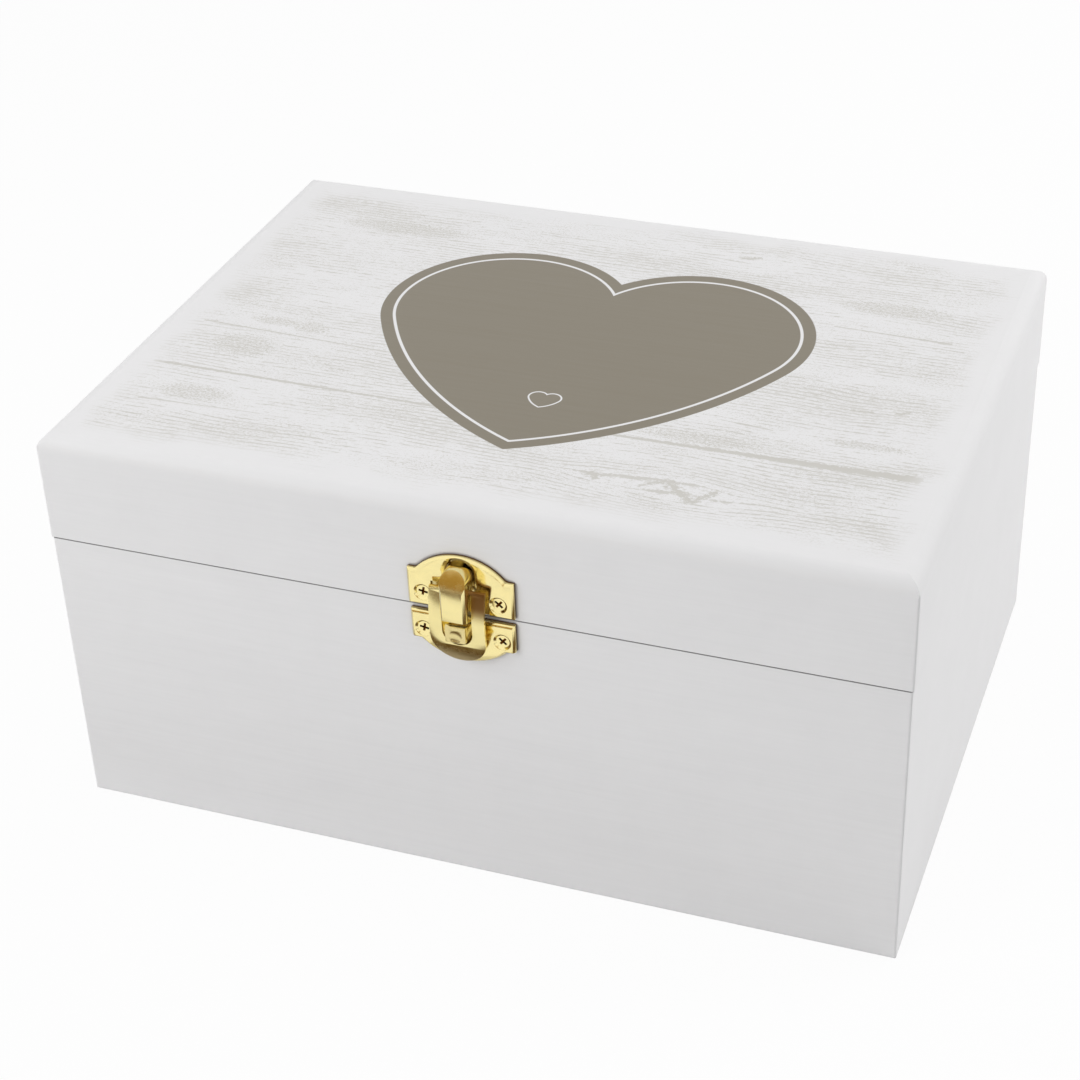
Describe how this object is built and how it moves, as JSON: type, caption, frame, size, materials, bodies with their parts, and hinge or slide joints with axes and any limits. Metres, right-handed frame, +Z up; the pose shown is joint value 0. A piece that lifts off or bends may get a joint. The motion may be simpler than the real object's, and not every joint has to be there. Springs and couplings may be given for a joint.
{
  "type": "keepsake box",
  "caption": "White-painted wooden keepsake box with a hinged lid, a printed heart on the lid and a brass toggle latch on the front.",
  "frame": {"origin": "centre of the flat underside that the box stands on", "axes": "+X to the right seen from the front, -Y towards the front with the latch, +Z up through the lid"},
  "size_m": [0.3, 0.2376, 0.15],
  "materials": {
    "painted_wood": "satin white paint over wood",
    "plywood": "bare plywood",
    "latch_brass": "polished",
    "hinge_brass": "polished",
    "screw_brass": "plated, bright"
  },
  "bodies": {
    "base": {"front_board": "painted_wood", "back_board": "painted_wood", "left_board": "painted_wood", "right_board": "painted_wood", "bottom_panel": "plywood", "latch_lower_plate": "latch_brass", "lower_latch_screws": "screw_brass", "hinge_left_base_leaf": "hinge_brass", "hinge_left_pin": "hinge_brass", "hinge_right_base_leaf": "hinge_brass", "hinge_right_pin": "hinge_brass", "hinge_base_screws": "screw_brass"},
    "lid": {"lid_front_rail": "painted_wood", "lid_back_rail": "painted_wood", "lid_left_rail": "painted_wood", "lid_right_rail": "painted_wood", "lid_top_board": "painted_wood", "latch_upper_plate": "latch_brass", "lever_pin": "latch_brass", "upper_latch_screws": "screw_brass", "hinge_left_lid_leaf": "hinge_brass", "hinge_right_lid_leaf": "hinge_brass", "hinge_lid_screws": "screw_brass"},
    "lever": {"latch_lever": "latch_brass"},
    "ring": {"latch_ring": "latch_brass"}
  },
  "joints": [
    {"name": "lid_hinge", "type": "hinge", "parent": "base", "child": "lid", "pos_m": [0, 0.1123, 0.11015], "axis": [-1, 0, 0], "range_deg": [0, 100]},
    {"name": "lever_hinge", "type": "hinge", "parent": "lid", "child": "lever", "pos_m": [0.002, -0.1154, 0.1262], "axis": [-1, 0, 0], "range_deg": [0, 90]},
    {"name": "ring_hinge", "type": "hinge", "parent": "lever", "child": "ring", "pos_m": [0.002, -0.1141, 0.121], "axis": [-1, 0, 0], "range_deg": [0, 75]}
  ]
}
